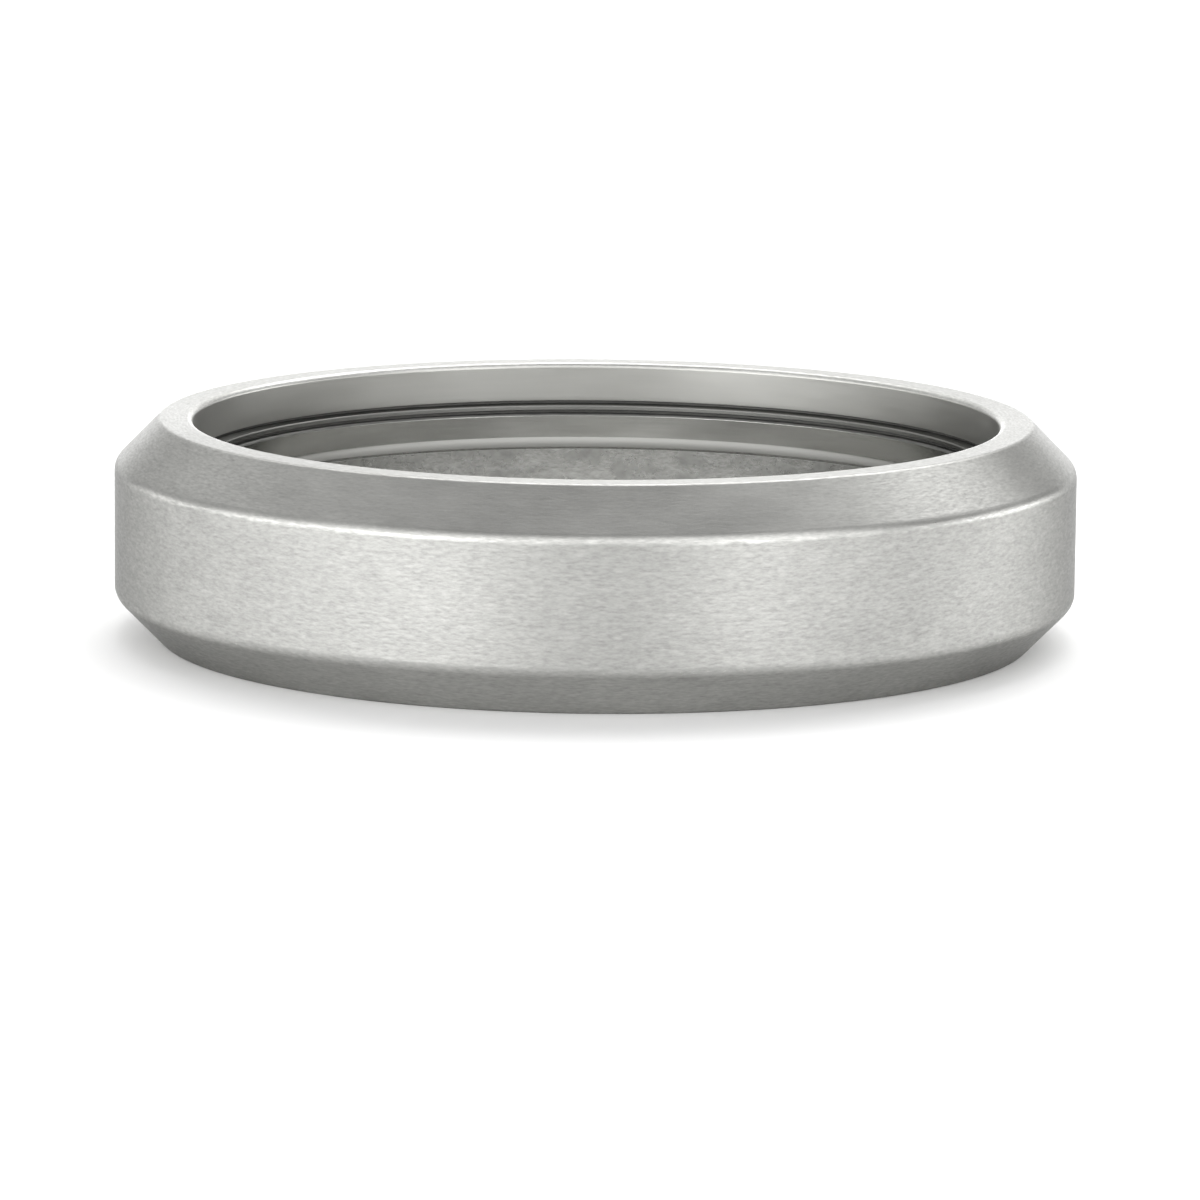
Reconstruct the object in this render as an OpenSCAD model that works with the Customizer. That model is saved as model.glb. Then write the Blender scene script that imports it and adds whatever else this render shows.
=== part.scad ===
// Bevelled wedding band: a satin outer shell with a polished sleeve pressed
// into its bore, and a thin beaded seam ring closing each end of the sleeve.
// Millimetres. The axis of the finger is Z, and the origin is the centre of
// the ring, halfway across its width. The band rests on either flat rim.

/* [Band] */
// Outside diameter across the straight outer face
outer_d = 26.3; // [25.9:0.1:27.5]
// Width of the band, from rim to rim
band_w = 6.0; // [5.6:0.1:8]
// Diameter of the opening that the finger passes through
finger_d = 21.08; // [20.9:0.02:21.3]

/* [Outer shell] */
// Height of each bevel, measured along the finger
bevel_h = 1.24; // [0.8:0.01:1.5]
// How far each bevel runs in from the outer face
bevel_in = 1.22; // [0.8:0.01:1.3]
// Diameter of the shell's polished bore
shell_bore_d = 22.04; // [21.9:0.02:22.2]
// Radius that softens the corner between outer face and bevel
face_corner_r = 0.45; // [0.1:0.05:0.6]
// Radius that softens the outer edge of each rim
rim_corner_r = 0.15; // [0.05:0.01:0.2]
// Radius that softens the inner edge of each rim
bore_corner_r = 0.15; // [0.05:0.01:0.2]

/* [Inner sleeve] */
// Depth of the polished land between a rim and the shell's relief groove
land_h = 1.10; // [0.8:0.01:1.2]
// Radius that rounds both ends of the sleeve where the finger enters
sleeve_lip_r = 0.08; // [0.03:0.01:0.1]
// Depth of the rebate cut into each end of the sleeve, below its seam ring
rebate_in = 0.24; // [0.12:0.01:0.3]
// Height of that rebate along the finger
rebate_h = 0.08; // [0.06:0.01:0.14]
// Width of the recessed field around the middle of the sleeve, at its floor
field_w = 1.08; // [0.8:0.02:1.6]
// Depth of the recessed field
field_depth = 0.18; // [0.1:0.01:0.2]
// Large radius that eases the sleeve's wall into the recessed field
field_ease_r = 0.50; // [0.2:0.01:0.56]

/* [Seam rings] */
// Height of each seam ring along the finger
seam_h = 0.15; // [0.12:0.01:0.2]
// How much further out than the sleeve's wall the bead stops
seam_set_back = 0.08; // [0.04:0.01:0.12]
// Radius of the bead's two inner corners
seam_bead_r = 0.04; // [0.02:0.01:0.045]
// Height of the relief groove in the shell, above each seam ring
groove_h = 0.07; // [0.05:0.01:0.12]
// Depth of the relief groove in the shell's bore
groove_in = 0.12; // [0.05:0.01:0.2]

/* [Hidden] */
$fn = 180;
arc_steps = 6;

outer_r  = outer_d / 2;
finger_r = finger_d / 2;
bore_r   = shell_bore_d / 2;
half_w   = band_w / 2;
rim_r    = outer_r - bevel_in;
face_z   = half_w - bevel_h;
seam_top = half_w - land_h;
sleeve_z = seam_top - groove_h - seam_h;
lip_z    = sleeve_z - rebate_h;
bead_r   = finger_r + seam_set_back;
field_z  = field_w / 2;
field_r  = finger_r + field_depth;

// Unit vector from a to b
function dir(a, b) = let (v = [b[0] - a[0], b[1] - a[1]], n = norm(v)) v / n;

// Points along the arc of radius r that rounds corner p, between its
// neighbours a and b. With r = 0 the corner stays sharp.
function round_corner(a, p, b, r) =
    r <= 0 ? [[p[0], p[1]]] :
    let (
        u = dir(p, a), w = dir(p, b),
        half = acos(max(-1, min(1, u * w))) / 2,
        back = r / tan(half),
        s = [p[0], p[1]] + u * back,
        e = [p[0], p[1]] + w * back,
        m = dir([0, 0], u + w),
        c = [p[0], p[1]] + m * (r / sin(half)),
        a0 = atan2(s[1] - c[1], s[0] - c[0]),
        a1 = atan2(e[1] - c[1], e[0] - c[0]),
        d0 = a1 - a0,
        turn = d0 > 180 ? d0 - 360 : d0 < -180 ? d0 + 360 : d0
    )
    [for (i = [0 : arc_steps]) c + r * [cos(a0 + turn * i / arc_steps), sin(a0 + turn * i / arc_steps)]];

// A closed outline from corners given as [radius, height, corner radius]
function rounded(pts) =
    let (n = len(pts))
    [for (i = [0 : n - 1]) each round_corner(pts[(i + n - 1) % n], pts[i], pts[(i + 1) % n], pts[i][2])];

// Satin shell: straight outer face, two bevels, two flat rims, and one bore
// with a fine relief groove above each seam ring
module outer_band() {
    color([0.66, 0.67, 0.64])
    rotate_extrude()
    polygon(rounded([
        [bore_r,  -half_w, bore_corner_r],
        [rim_r,   -half_w, rim_corner_r],
        [outer_r, -face_z, face_corner_r],
        [outer_r,  face_z, face_corner_r],
        [rim_r,    half_w, rim_corner_r],
        [bore_r,   half_w, bore_corner_r],
        [bore_r,   seam_top, 0.02],
        [bore_r + groove_in, seam_top, 0],
        [bore_r + groove_in, seam_top - groove_h, 0],
        [bore_r,   seam_top - groove_h, 0],
        [bore_r,  -seam_top + groove_h, 0],
        [bore_r + groove_in, -seam_top + groove_h, 0],
        [bore_r + groove_in, -seam_top, 0],
        [bore_r,  -seam_top, 0.02]
    ]));
}

// Polished sleeve pressed into the bore, with the recessed field in its middle
module inner_sleeve() {
    color([0.60, 0.60, 0.57])
    rotate_extrude()
    polygon(rounded([
        [bore_r,   -sleeve_z, 0],
        [bore_r,    sleeve_z, 0],
        [finger_r + rebate_in,  sleeve_z, 0],
        [finger_r + rebate_in,  lip_z, 0],
        [finger_r,  lip_z, sleeve_lip_r],
        [finger_r,  field_z + field_depth, field_ease_r],
        [field_r,   field_z, 0.02],
        [field_r,  -field_z, 0.02],
        [finger_r, -field_z - field_depth, field_ease_r],
        [finger_r, -lip_z, sleeve_lip_r],
        [finger_r + rebate_in, -lip_z, 0],
        [finger_r + rebate_in, -sleeve_z, 0]
    ]));
}

// One thin seam ring, seated on the end of the sleeve at height 0. Its bead
// overhangs the sleeve's rebate, so a fine shadow gap shows on both its sides.
module seam_ring() {
    rotate_extrude()
    polygon(rounded([
        [bore_r, 0, 0],
        [bore_r, seam_h, 0],
        [bead_r, seam_h, seam_bead_r],
        [bead_r, 0, seam_bead_r]
    ]));
}

// Seam ring at the upper end of the sleeve
module upper_seam_ring() {
    color([0.70, 0.70, 0.67])
    translate([0, 0, sleeve_z]) seam_ring();
}

// Seam ring at the lower end of the sleeve
module lower_seam_ring() {
    color([0.70, 0.70, 0.67])
    mirror([0, 0, 1]) translate([0, 0, sleeve_z]) seam_ring();
}

outer_band();
inner_sleeve();
upper_seam_ring();
lower_seam_ring();
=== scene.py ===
import math
import bpy
import numpy as np
from mathutils import Matrix, Vector


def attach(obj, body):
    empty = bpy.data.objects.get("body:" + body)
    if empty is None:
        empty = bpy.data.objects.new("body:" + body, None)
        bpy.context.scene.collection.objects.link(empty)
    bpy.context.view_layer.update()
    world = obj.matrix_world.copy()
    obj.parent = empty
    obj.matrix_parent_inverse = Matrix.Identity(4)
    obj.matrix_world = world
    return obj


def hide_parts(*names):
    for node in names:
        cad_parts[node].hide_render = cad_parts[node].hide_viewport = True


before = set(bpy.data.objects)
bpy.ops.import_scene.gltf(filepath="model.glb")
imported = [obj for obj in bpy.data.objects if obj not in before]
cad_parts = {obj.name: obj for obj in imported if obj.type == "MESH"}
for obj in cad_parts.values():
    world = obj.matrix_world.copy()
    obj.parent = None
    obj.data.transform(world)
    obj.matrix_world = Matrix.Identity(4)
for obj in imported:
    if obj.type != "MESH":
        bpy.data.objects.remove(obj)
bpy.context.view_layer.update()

MM = 0.001

# ---------------------------------------------------------------- sizes, mm
OUTER_R = 13.15
HALF_W = 3.0
BEVEL_H = 1.24
BEVEL_IN = 1.22
BORE_R = 11.02
FINGER_R = 10.54
LAND_H = 1.10
SEAM_H = 0.15
SEAM_SET_BACK = 0.08
GROOVE_H = 0.07
GROOVE_IN = 0.12
REBATE_IN = 0.24
REBATE_H = 0.08
FIELD_Z = 0.54
FIELD_DEPTH = 0.18
FACE_CORNER_R = 0.45
RIM_CORNER_R = 0.15
BORE_CORNER_R = 0.15
SLEEVE_LIP_R = 0.08
FIELD_EASE_R = 0.50
SEAM_BEAD_R = 0.04

RIM_R = OUTER_R - BEVEL_IN
FACE_Z = HALF_W - BEVEL_H
SEAM_TOP = HALF_W - LAND_H
SLEEVE_Z = SEAM_TOP - GROOVE_H - SEAM_H
LIP_Z = SLEEVE_Z - REBATE_H
BEAD_R = FINGER_R + SEAM_SET_BACK
FIELD_R = FINGER_R + FIELD_DEPTH

TURN = 384               # steps round the ring


# ---------------------------------------------------------------- lathe
def outline(corners, steps=9):
    """Rounded closed outline from (radius, height, corner radius): points, and each segment's normal at both of its ends. Corners run anticlockwise in (r, z)."""
    n = len(corners)
    pts, seg_from, seg_to = [], [], []
    arcs = []
    for i in range(n):
        a = np.array(corners[i - 1][:2], float)
        p = np.array(corners[i][:2], float)
        b = np.array(corners[(i + 1) % n][:2], float)
        r = corners[i][2]
        u = (a - p) / np.linalg.norm(a - p)
        w = (b - p) / np.linalg.norm(b - p)
        n_in = np.array([-u[1], u[0]])      # outward normal of the edge a -> p, for an anticlockwise outline
        n_out = np.array([w[1], -w[0]])     # and of the edge p -> b
        if r <= 0:
            arcs.append([(p, n_in, n_out)])
            continue
        half = math.acos(max(-1.0, min(1.0, float(u @ w)))) / 2
        back = r / math.tan(half)
        s, e = p + u * back, p + w * back
        c = p + (u + w) / np.linalg.norm(u + w) * (r / math.sin(half))
        a0 = math.atan2(s[1] - c[1], s[0] - c[0])
        a1 = math.atan2(e[1] - c[1], e[0] - c[0])
        d = (a1 - a0 + math.pi) % (2 * math.pi) - math.pi
        sign = 1.0 if float((s - c) @ n_in) > 0 else -1.0
        arc = []
        for k in range(steps + 1):
            t = a0 + d * k / steps
            m = np.array([math.cos(t), math.sin(t)])
            arc.append((c + r * m, sign * m, sign * m))
        arcs.append(arc)
    for arc in arcs:
        for q, m0, m1 in arc:
            pts.append(q)
            seg_to.append(m0)        # normal that a segment ending here has
            seg_from.append(m1)      # normal that a segment starting here has
    return pts, seg_from, seg_to


def lathe(name, corners, steps=9, turn=TURN, wobble=None):
    """Turns the outline about Z, with exact normals on every corner of every face."""
    pts, seg_from, seg_to = outline(corners, steps)
    k = len(pts)
    ang = np.arange(turn) * 2 * math.pi / turn
    ca, sa = np.cos(ang), np.sin(ang)
    r = np.array([p[0] for p in pts])
    z = np.array([p[1] for p in pts])
    rr = np.repeat(r[None, :], turn, 0)
    zz = np.repeat(z[None, :], turn, 0)
    if wobble is not None:
        dr, dz = wobble(rr, zz, ang[:, None])
        rr, zz = rr + dr, zz + dz
    verts = np.stack([rr * ca[:, None], rr * sa[:, None], zz], -1).reshape(-1, 3) * MM
    faces, normals = [], []
    for s in range(turn):
        t = (s + 1) % turn
        for j in range(k):
            m = (j + 1) % k
            faces.append((s * k + j, t * k + j, t * k + m, s * k + m))
            n0, n1 = seg_from[j], seg_to[m]
            normals += [
                (n0[0] * ca[s], n0[0] * sa[s], n0[1]),
                (n0[0] * ca[t], n0[0] * sa[t], n0[1]),
                (n1[0] * ca[t], n1[0] * sa[t], n1[1]),
                (n1[0] * ca[s], n1[0] * sa[s], n1[1]),
            ]
    me = bpy.data.meshes.new(name)
    me.from_pydata(verts.tolist(), [], faces)
    me.polygons.foreach_set("use_smooth", [True] * len(faces))
    me.update()
    me.normals_split_custom_set([tuple(float(v) for v in nn) for nn in normals])
    ob = bpy.data.objects.new(name, me)
    bpy.context.scene.collection.objects.link(ob)
    return ob


# Anticlockwise outlines in (r, z): up the outer side, in along the top, down the bore, out along the bottom.
shell = lathe("shell", [
    (RIM_R, -HALF_W, RIM_CORNER_R),
    (OUTER_R, -FACE_Z, FACE_CORNER_R),
    (OUTER_R, FACE_Z, FACE_CORNER_R),
    (RIM_R, HALF_W, RIM_CORNER_R),
    (BORE_R, HALF_W, BORE_CORNER_R),
    (BORE_R, SEAM_TOP, 0.02),
    (BORE_R + GROOVE_IN, SEAM_TOP, 0),
    (BORE_R + GROOVE_IN, SEAM_TOP - GROOVE_H, 0),
    (BORE_R, SEAM_TOP - GROOVE_H, 0),
    (BORE_R, -SEAM_TOP + GROOVE_H, 0),
    (BORE_R + GROOVE_IN, -SEAM_TOP + GROOVE_H, 0),
    (BORE_R + GROOVE_IN, -SEAM_TOP, 0),
    (BORE_R, -SEAM_TOP, 0.02),
    (BORE_R, -HALF_W, BORE_CORNER_R),
])
sleeve = lathe("sleeve", [
    (BORE_R, -SLEEVE_Z, 0),
    (BORE_R, SLEEVE_Z, 0),
    (FINGER_R + REBATE_IN, SLEEVE_Z, 0),
    (FINGER_R + REBATE_IN, LIP_Z, 0),
    (FINGER_R, LIP_Z, SLEEVE_LIP_R),
    (FINGER_R, FIELD_Z + FIELD_DEPTH, FIELD_EASE_R),
    (FIELD_R, FIELD_Z, 0.02),
    (FIELD_R, -FIELD_Z, 0.02),
    (FINGER_R, -FIELD_Z - FIELD_DEPTH, FIELD_EASE_R),
    (FINGER_R, -LIP_Z, SLEEVE_LIP_R),
    (FINGER_R + REBATE_IN, -LIP_Z, 0),
    (FINGER_R + REBATE_IN, -SLEEVE_Z, 0),
])
seam_profile = [
    (BORE_R, 0, 0),
    (BORE_R, SEAM_H, 0),
    (BEAD_R, SEAM_H, SEAM_BEAD_R),
    (BEAD_R, 0, SEAM_BEAD_R),
]
upper_seam = lathe("seam_upper", [(r, SLEEVE_Z + z, q) for r, z, q in seam_profile])
lower_seam = lathe("seam_lower", [(r, -SLEEVE_Z - z, q) for r, z, q in reversed(seam_profile)])

for ob, node, slot in (
    (shell, "outer_band", "satin_shell"),
    (sleeve, "inner_sleeve", "polished_sleeve"),
    (upper_seam, "upper_seam_ring", "polished_bead"),
    (lower_seam, "lower_seam_ring", "polished_bead"),
):
    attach(ob, "root")
    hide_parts(node)


# ---------------------------------------------------------------- materials
class Nodes:
    """Small helper that adds and links shader nodes."""

    def __init__(self, tree):
        self.nt = tree

    def put(self, value, socket):
        if isinstance(value, bpy.types.NodeSocket):
            self.nt.links.new(value, socket)
        else:
            socket.default_value = value

    def math(self, op, a, b=None, c=None, clamp=False):
        n = self.nt.nodes.new("ShaderNodeMath")
        n.operation = op
        n.use_clamp = clamp
        for i, v in enumerate((a, b, c)):
            if v is not None:
                self.put(v, n.inputs[i])
        return n.outputs[0]

    def vec(self, x, y, z):
        n = self.nt.nodes.new("ShaderNodeCombineXYZ")
        for i, v in enumerate((x, y, z)):
            self.put(v, n.inputs[i])
        return n.outputs[0]

    def noise(self, vector, w, scale=1.0, detail=2.0, rough=0.5):
        n = self.nt.nodes.new("ShaderNodeTexNoise")
        n.noise_dimensions = "4D"
        self.put(vector, n.inputs["Vector"])
        self.put(w, n.inputs["W"])
        n.inputs["Scale"].default_value = scale
        n.inputs["Detail"].default_value = detail
        n.inputs["Roughness"].default_value = rough
        return n.outputs["Fac"]

    def ramp(self, fac, stops):
        n = self.nt.nodes.new("ShaderNodeMapRange")
        n.clamp = True
        (a, va), (b, vb) = stops
        self.put(fac, n.inputs["Value"])
        n.inputs["From Min"].default_value = a
        n.inputs["From Max"].default_value = b
        n.inputs["To Min"].default_value = va
        n.inputs["To Max"].default_value = vb
        return n.outputs["Result"]

    def bump(self, height, distance, strength=1.0, normal=None):
        n = self.nt.nodes.new("ShaderNodeBump")
        n.inputs["Strength"].default_value = strength
        n.inputs["Distance"].default_value = distance
        self.put(height, n.inputs["Height"])
        if normal is not None:
            self.put(normal, n.inputs["Normal"])
        return n.outputs["Normal"]


def start(name):
    m = bpy.data.materials.new(name)
    m.use_nodes = True
    k = Nodes(m.node_tree)
    tc = m.node_tree.nodes.new("ShaderNodeTexCoord")
    sep = m.node_tree.nodes.new("ShaderNodeSeparateXYZ")
    m.node_tree.links.new(tc.outputs["Object"], sep.inputs[0])
    x, y, z = (k.math("MULTIPLY", sep.outputs[i], 1000.0) for i in range(3))   # millimetres
    r = k.math("SQRT", k.math("ADD", k.math("MULTIPLY", x, x), k.math("MULTIPLY", y, y)))
    return m, k, x, y, z, r


def along(k, x, y, z, r, long_, fine, shift=0.0):
    """A noise place that is stretched round the ring and has no seam: long_ cycles a millimetre round it, fine across."""
    return k.vec(k.math("MULTIPLY", x, long_), k.math("MULTIPLY", y, long_), k.math("MULTIPLY", z, fine)), k.math("MULTIPLY_ADD", r, fine, shift)


def finish_metal(m, k, colour, rough, normal, aniso, edge_tint):
    b = m.node_tree.nodes["Principled BSDF"]
    b.inputs["Metallic"].default_value = 1.0
    b.inputs["Specular Tint"].default_value = (edge_tint, edge_tint, edge_tint, 1)
    k.put(colour, b.inputs["Base Color"])
    k.put(rough, b.inputs["Roughness"])
    k.put(normal, b.inputs["Normal"])
    if aniso:
        b.inputs["Anisotropic"].default_value = aniso
        tg = m.node_tree.nodes.new("ShaderNodeTangent")
        tg.direction_type = "RADIAL"
        tg.axis = "Z"
        m.node_tree.links.new(tg.outputs[0], b.inputs["Tangent"])
        b.inputs["Anisotropic Rotation"].default_value = 0.25      # the brushing runs round the ring
    return m


def tint(k, base, factor):
    """base times a grey factor"""
    n = k.nt.nodes.new("ShaderNodeMix")
    n.data_type = "RGBA"
    n.blend_type = "MULTIPLY"
    n.inputs[0].default_value = 1.0
    n.inputs[6].default_value = (*base, 1)
    c = k.nt.nodes.new("ShaderNodeCombineColor")
    for i in range(3):
        k.put(factor, c.inputs[i])
    k.nt.links.new(c.outputs[0], n.inputs[7])
    return n.outputs[2]


def satin_metal():
    m, k, x, y, z, r = start("satin_metal")
    v, w = along(k, x, y, z, r, 5.0, 17.0)
    grain = k.noise(v, w, 1.0, 2.0, 0.55)                   # short fine dashes
    v, w = along(k, x, y, z, r, 1.6, 11.0, 7.3)
    streak = k.noise(v, w, 1.0, 1.0, 0.5)                   # longer strokes
    v, w = along(k, x, y, z, r, 0.42, 0.75, 3.1)
    cloud = k.noise(v, w, 1.0, 4.0, 0.6)                    # broad mottling
    speck = k.ramp(grain, ((0.22, 0.80), (0.78, 1.20)))     # deeper dashes are darker
    tone = k.math("MULTIPLY", speck, k.math("ADD", k.ramp(cloud, ((0.3, 0.955), (0.7, 1.045))), k.ramp(streak, ((0.3, -0.035), (0.7, 0.035)))))
    # the corners between face and bevels get a painted highlight (lighter colour) and are made smoother; the inner
    # edges of the rims get a painted highlight too
    high = k.math("ABSOLUTE", z)
    off = k.math("ABSOLUTE", k.math("ADD", high, k.math("MULTIPLY_ADD", streak, 0.10, -FACE_Z + 0.04 - 0.05)))
    corner_highlight_and_polish = k.math("MULTIPLY", k.ramp(off, ((0.03, 1.0), (0.15, 0.0))), k.ramp(r, ((OUTER_R - 0.22, 0.0), (OUTER_R - 0.12, 1.0))))
    # painted highlight: the colour is lighter along the face corners
    tone = k.math("MULTIPLY", tone, k.math("MULTIPLY_ADD", corner_highlight_and_polish, 0.20, 1.0))
    # painted highlight: the colour is lighter on the inner edges of the rims
    rim_mouth_highlight = k.ramp(r, ((BORE_R + 0.08, 1.0), (BORE_R + 0.17, 0.0)))
    tone = k.math("MULTIPLY", tone, k.math("MULTIPLY_ADD", rim_mouth_highlight, 0.45, 1.0))
    rough = k.math("ADD", k.ramp(cloud, ((0.3, SATIN_ROUGH - 0.02), (0.7, SATIN_ROUGH + 0.03))), k.ramp(grain, ((0.3, 0.05), (0.7, -0.05))))
    rough = k.math("MULTIPLY_ADD", corner_highlight_and_polish, -0.05, rough)
    height = k.math("ADD", grain, k.math("MULTIPLY", streak, 0.6))
    normal = k.bump(height, GRAIN_H)
    return finish_metal(m, k, tint(k, SATIN_COLOUR, tone), rough, normal, SATIN_ANISO, 0.45)


def polished_metal(name, base, rough0, wave=1.0, edge_tint=0.8):
    m, k, x, y, z, r = start(name)
    v, w = along(k, x, y, z, r, 0.30, 0.9, 1.7)
    slow = k.noise(v, w, 1.0, 1.0, 0.4)                     # hand-polished waviness
    v, w = along(k, x, y, z, r, 0.7, 14.0, 4.4)
    line = k.noise(v, w, 1.0, 2.0, 0.5)                     # faint turning lines
    tone = k.math("ADD", k.ramp(line, ((0.3, 0.985), (0.7, 1.015))), k.ramp(slow, ((0.3, -0.03), (0.7, 0.03))))
    rough = k.math("ADD", k.ramp(slow, ((0.3, rough0 - 0.02), (0.7, rough0 + 0.03))), k.ramp(line, ((0.3, -0.015), (0.7, 0.015))))
    normal = k.bump(slow, WAVE_H * wave)
    return finish_metal(m, k, tint(k, base, tone), rough, normal, 0.0, edge_tint)


def field_metal():
    m, k, x, y, z, r = start("field_metal")
    v, w = along(k, x, y, z, r, 1.5, 2.2, 9.1)
    blotch = k.noise(v, w, 1.0, 3.0, 0.6)
    v, w = along(k, x, y, z, r, 6.0, 9.0, 2.2)
    fleck = k.noise(v, w, 1.0, 2.0, 0.5)
    tone = k.math("ADD", k.ramp(blotch, ((0.32, 0.66), (0.64, 1.02))), k.ramp(fleck, ((0.3, -0.05), (0.7, 0.05))))
    rough = k.math("ADD", k.ramp(blotch, ((0.3, 0.34), (0.7, 0.20))), k.ramp(fleck, ((0.3, -0.03), (0.7, 0.03))))
    height = k.math("ADD", blotch, k.math("MULTIPLY", fleck, 0.2))
    return finish_metal(m, k, tint(k, FIELD_COLOUR, tone), rough, k.bump(height, 0.000010), 0.0, 0.8)


def groove_shade_metal():
    """Painted shade: the fine seams are coloured dark where shade falls in them, with a mottled tone."""
    m, k, x, y, z, r = start("seam_shadow_metal")
    v, w = along(k, x, y, z, r, 2.0, 9.0, 5.2)
    shade_mottle = k.noise(v, w, 1.0, 2.0, 0.5)
    tone = k.ramp(shade_mottle, ((0.3, 0.8), (0.7, 1.25)))
    rough = k.ramp(shade_mottle, ((0.3, 0.5), (0.7, 0.62)))
    # the dark base colour is painted shade for the seams and rebates
    return finish_metal(m, k, tint(k, (0.17, 0.17, 0.163), tone), rough, k.bump(shade_mottle, 0.000003), 0.0, 0.25)


SATIN_COLOUR, SATIN_ROUGH, SATIN_ANISO, GRAIN_H = (0.385, 0.385, 0.371), 0.37, 0.5, 0.0000032
WAVE_H = 0.000012
LAND_COLOUR, SLEEVE_COLOUR, BEAD_COLOUR, FIELD_COLOUR = (0.435, 0.435, 0.416), (0.47, 0.47, 0.45), (0.23, 0.23, 0.22), (0.44, 0.44, 0.423)
satin = satin_metal()
land = polished_metal("land_metal", LAND_COLOUR, 0.36)
polish = polished_metal("sleeve_metal", SLEEVE_COLOUR, 0.18)
bead = polished_metal("bead_metal", BEAD_COLOUR, 0.34, 1.0, 0.3)
groove_shade = groove_shade_metal()
field = field_metal()
for m in (satin, land, groove_shade):
    shell.data.materials.append(m)
for m in (polish, field, groove_shade):
    sleeve.data.materials.append(m)
upper_seam.data.materials.append(bead)
lower_seam.data.materials.append(bead)


def finish_faces(ob, rule):
    """Gives each face the material slot that rule(radius, height) names, both in millimetres."""
    me = ob.data
    me.polygons.foreach_set("material_index", [rule(math.hypot(p.center.x, p.center.y) / MM, abs(p.center.z) / MM) for p in me.polygons])


# the shell's bore is polished between its rounded mouths, and its relief grooves get the painted shade material
finish_faces(shell, lambda r, z: 2 if BORE_R + 0.002 < r < BORE_R + GROOVE_IN + 0.01 and z < SEAM_TOP + 0.01 else 1 if r < BORE_R + 0.01 else 0)
# the sleeve is polished, its recessed field is left as cast, and the rebates at its ends and most of each lip's
# rounding get the painted shade material
finish_faces(sleeve, lambda r, z: 2 if z > LIP_Z - 0.85 * SLEEVE_LIP_R and r < BORE_R - 0.01 else 1 if r < BORE_R - 0.05 and z < FIELD_Z - 0.005 else 0)

# ---------------------------------------------------------------- floor
bpy.ops.mesh.primitive_plane_add(size=4.0, location=(0, 0, -HALF_W * MM))
floor = bpy.context.object
floor.name = "floor"
fm = bpy.data.materials.new("floor_white")
fm.use_nodes = True
fb = fm.node_tree.nodes["Principled BSDF"]
fb.inputs["Base Color"].default_value = (0.98, 0.98, 0.98, 1)
fb.inputs["Roughness"].default_value = 0.9
fb.inputs["Specular IOR Level"].default_value = 0.0
floor.data.materials.append(fm)

# ---------------------------------------------------------------- light
# A ring of soft panels round the table, dimmer higher up. Each row is one height above the horizon and how far it
# spreads up and down, in degrees, and its strengths go round the table in equal steps from behind the ring, by its left,
# its front and its right.
PANELS = (
    (0.0, 22.5, (7.5, 3.6, 0.3, 0.4, 0.8, 4.2, 5.1, 5.7, 6.7, 2.4, 0.0, 1.0, 5.8, 2.6, 1.7, 2.6, 2.4, 0.6, 0.3, 3.6)),
    (0.0, 9.0, (0.0, 0.0, 0.0, 4.0, 3.0, 0.0, 0.0, 0.0, 0.0, 0.0, 0.0, 0.0, 0.0, 0.0, 0.0, 0.0, 7.0, 7.0, 0.5, 0.0)),
    (22.5, 22.5, (1.1, 1.0, 0.7, 0.4, 1.4, 1.8, 2.4, 1.9, 1.8, 0.0, 0.2, 0.7)),
    (45.0, 22.5, (4.3, 2.6, 0.5, 0.6, 1.1, 0.8, 1.4, 1.5, 1.2, 0.3, 2.1, 6.0)),
    (67.5, 22.5, (5.2, 0.6, 0.0, 0.0, 0.0, 0.6)),
    (90.0, 22.5, (0.4,)),
)
TOP = 12.0
world = bpy.data.worlds.new("studio")
bpy.context.scene.world = world
world.use_nodes = True
wt = world.node_tree
wt.nodes.clear()
wk = Nodes(wt)
wc = wt.nodes.new("ShaderNodeTexCoord")
ws = wt.nodes.new("ShaderNodeSeparateXYZ")
wt.links.new(wc.outputs["Generated"], ws.inputs[0])
turn_at = wk.math("MULTIPLY_ADD", wk.math("ARCTAN2", ws.outputs[0], wk.math("MULTIPLY", ws.outputs[1], -1.0)), 0.5 / math.pi, 0.5)
height = wk.math("MULTIPLY", wk.math("ARCSINE", ws.outputs[2]), 180 / math.pi)
total = None
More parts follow.
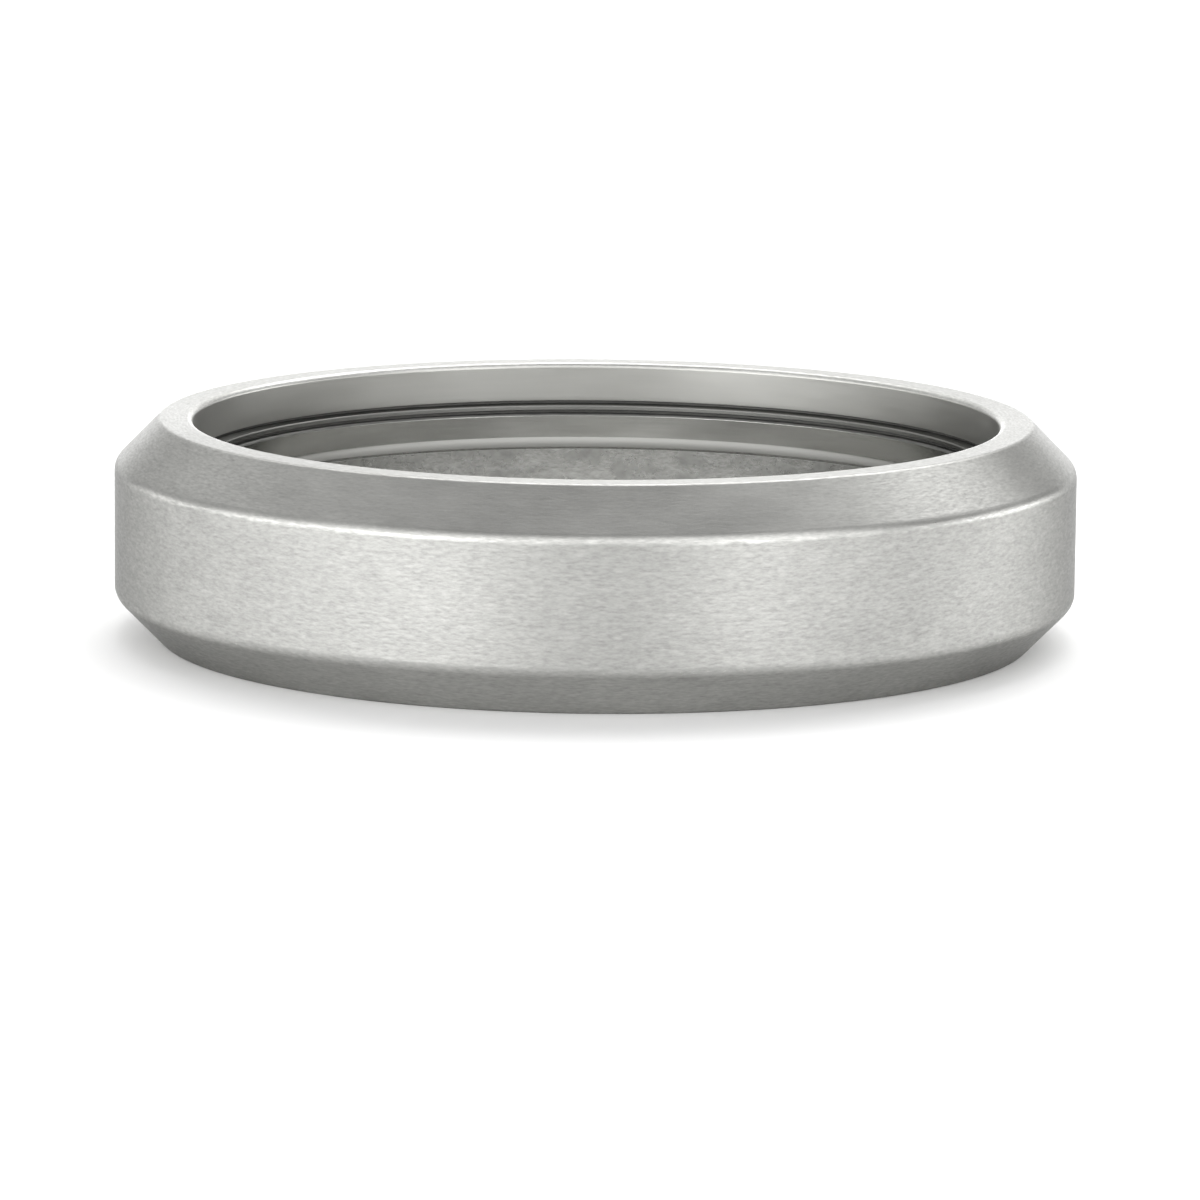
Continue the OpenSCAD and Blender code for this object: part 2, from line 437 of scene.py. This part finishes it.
for high, spread, row in PANELS:
    tent = wk.math("MAXIMUM", wk.math("SUBTRACT", 1.0, wk.math("DIVIDE", wk.math("ABSOLUTE", wk.math("SUBTRACT", height, high)), spread)), 0.0)
    if len(row) > 1:
        n = wt.nodes.new("ShaderNodeValToRGB")
        wt.links.new(turn_at, n.inputs[0])
        n.color_ramp.interpolation = "LINEAR"
        stops = n.color_ramp.elements
        while len(stops) < len(row) + 1:
            stops.new(0.5)
        for i in range(len(row) + 1):
            stops[i].position = i / len(row)
        for i in range(len(row) + 1):
            v = row[i % len(row)] / TOP
            stops[i].color = (v, v, v, 1)
        part = wk.math("MULTIPLY", wk.math("MULTIPLY", n.outputs[0], TOP), tent)
    else:
        part = wk.math("MULTIPLY", tent, row[0])
    total = part if total is None else wk.math("ADD", total, part)
bg = wt.nodes.new("ShaderNodeBackground")
wt.links.new(total, bg.inputs["Strength"])
bg.inputs["Color"].default_value = (1, 1, 1, 1)
wo = wt.nodes.new("ShaderNodeOutputWorld")
wt.links.new(bg.outputs[0], wo.inputs[0])

# ---------------------------------------------------------------- camera
EL, ROLL = math.radians(9.1225), math.radians(0.5568)
DIST = 14.61 * OUTER_R * MM
FPX = 14.61 * 479.51                    # focal length in pixels of a 1200-pixel picture
CX, CY = 595.22 - 600, 526.05 - 600      # where the ring's centre falls, from the picture's centre, Y down
cam_d = bpy.data.cameras.new("camera")
cam = bpy.data.objects.new("camera", cam_d)
bpy.context.scene.collection.objects.link(cam)
cam_d.sensor_width = 36.0
cam_d.lens = FPX / 1200 * 36.0
cam_d.clip_start = 0.005
cam_d.clip_end = 20.0
pos = Vector((0, -math.cos(EL), math.sin(EL))) * DIST
look = (-pos).to_track_quat("-Z", "Y").to_matrix()          # at the ring's centre, upright
rot = look @ Matrix.Rotation(ROLL, 3, "Z")                   # the picture turns clockwise when the camera turns the other way
rot = rot @ Matrix.Rotation(-math.atan2(-CY, FPX), 3, "X") @ Matrix.Rotation(math.atan2(CX, FPX), 3, "Y")
cam.matrix_world = Matrix.Translation(pos) @ rot.to_4x4()
bpy.context.scene.camera = cam

sc = bpy.context.scene
sc.view_settings.view_transform = "Standard"
sc.view_settings.look = "None"
sc.view_settings.exposure = 0.0
sc.view_settings.gamma = 1.0
